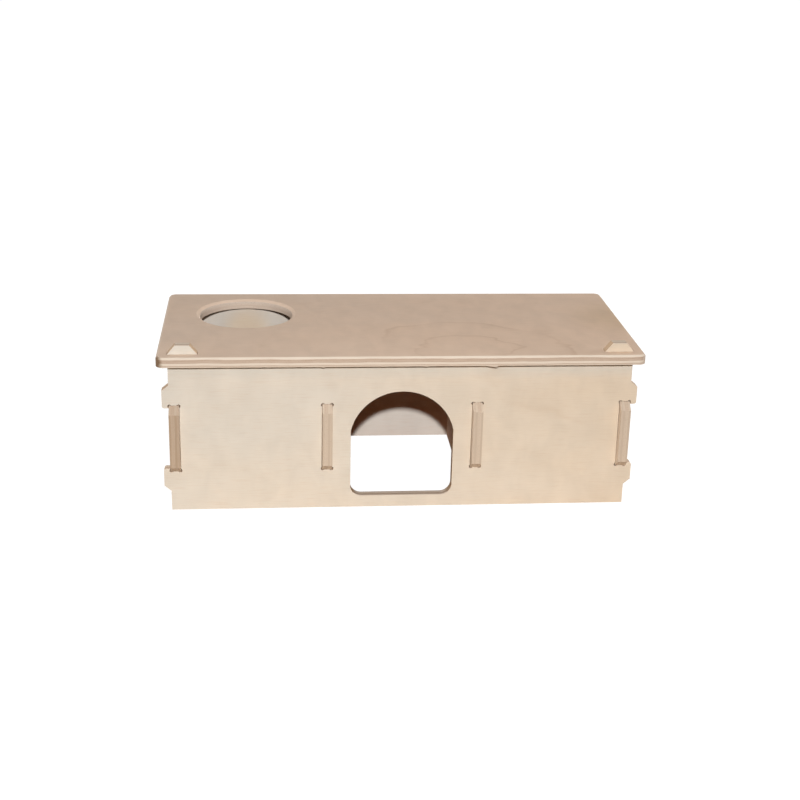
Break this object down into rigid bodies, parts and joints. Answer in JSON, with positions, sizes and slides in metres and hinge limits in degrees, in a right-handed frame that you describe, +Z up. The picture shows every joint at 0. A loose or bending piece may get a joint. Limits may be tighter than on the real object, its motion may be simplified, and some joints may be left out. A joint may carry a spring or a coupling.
{
  "type": "wooden hamster house",
  "caption": "Low plywood hamster house of plug-together boards: arched doorway in front, round hole in the lift-off lid, chambers joined by arched passages, open underneath.",
  "frame": {"origin": "on the floor, under the middle of the box that the upright boards make; the lid reaches 8 mm past it in front and 4 mm behind", "axes": "+X from left to right along the front, +Y from front to back, +Z up"},
  "size_m": [0.314, 0.1444, 0.1131],
  "materials": {
    "birch_front": "sanded untreated birch plywood",
    "birch_wall": "sanded untreated birch plywood",
    "birch_lid": "sanded untreated birch plywood with bevelled edges"
  },
  "bodies": {
    "house": {"front_panel": "birch_front", "back_panel": "birch_front", "left_wall": "birch_wall", "right_wall": "birch_wall", "left_divider": "birch_wall", "right_divider": "birch_wall"},
    "lid": {"lid": "birch_lid"}
  },
  "joints": [
    {"name": "lid_lift", "type": "slide", "parent": "house", "child": "lid", "axis": [0, 0, 1], "range_m": [0, 0.05]}
  ]
}
